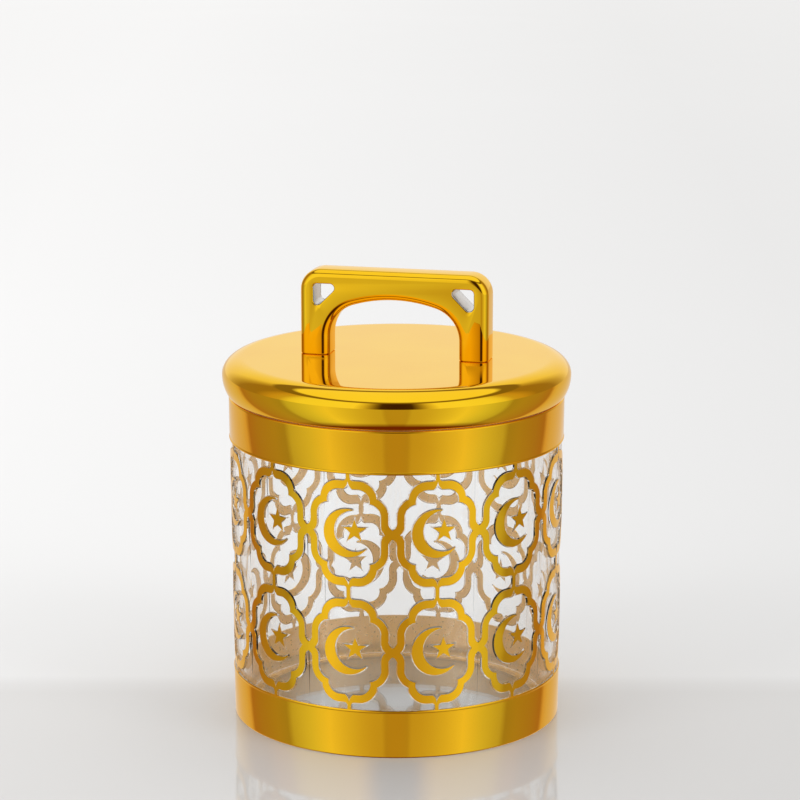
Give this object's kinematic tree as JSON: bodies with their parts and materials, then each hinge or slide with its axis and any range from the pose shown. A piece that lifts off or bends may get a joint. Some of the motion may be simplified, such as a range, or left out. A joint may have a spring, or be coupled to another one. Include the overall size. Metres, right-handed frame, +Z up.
{
  "type": "snack jar",
  "caption": "Round clear jar with raised gilded crescent and star medallions between gold bands, closed by a lift-off gold lid with an arched handle.",
  "frame": {"origin": "centre of the jar's foot, on the surface that it stands on", "axes": "+Z up along the jar's axis, +X along the handle"},
  "size_m": [0.1038, 0.1038, 0.1348],
  "materials": {
    "clear_plastic": "clear moulded plastic, polished",
    "gold_foil": "hot-stamped gold foil",
    "gold_plate": "mirror-plated plastic under gold lacquer",
    "liner_plastic": "fine satin moulding",
    "seal_rubber": "translucent silicone",
    "screw_steel": "zinc-plated steel"
  },
  "bodies": {
    "jar": {"jar_body": "clear_plastic", "lower_band_foil": "gold_foil", "upper_band_foil": "gold_foil", "medallion_lower_01": "gold_foil", "medallion_lower_02": "gold_foil", "medallion_lower_03": "gold_foil", "medallion_lower_04": "gold_foil", "medallion_lower_05": "gold_foil", "medallion_lower_06": "gold_foil", "medallion_lower_07": "gold_foil", "medallion_lower_08": "gold_foil", "medallion_lower_09": "gold_foil", "medallion_lower_10": "gold_foil", "medallion_lower_11": "gold_foil", "medallion_lower_12": "gold_foil", "medallion_upper_01": "gold_foil", "medallion_upper_02": "gold_foil", "medallion_upper_03": "gold_foil", "medallion_upper_04": "gold_foil", "medallion_upper_05": "gold_foil", "medallion_upper_06": "gold_foil", "medallion_upper_07": "gold_foil", "medallion_upper_08": "gold_foil", "medallion_upper_09": "gold_foil", "medallion_upper_10": "gold_foil", "medallion_upper_11": "gold_foil", "medallion_upper_12": "gold_foil"},
    "lid": {"lid_cover": "gold_plate", "lid_liner": "liner_plastic", "seal_ring": "seal_rubber", "lid_handle": "gold_plate", "handle_screws": "screw_steel", "handle_washers": "screw_steel"}
  },
  "joints": [
    {"name": "lid_lift", "type": "slide", "parent": "jar", "child": "lid", "axis": [0, 0, 1], "range_m": [0, 0.12]}
  ]
}
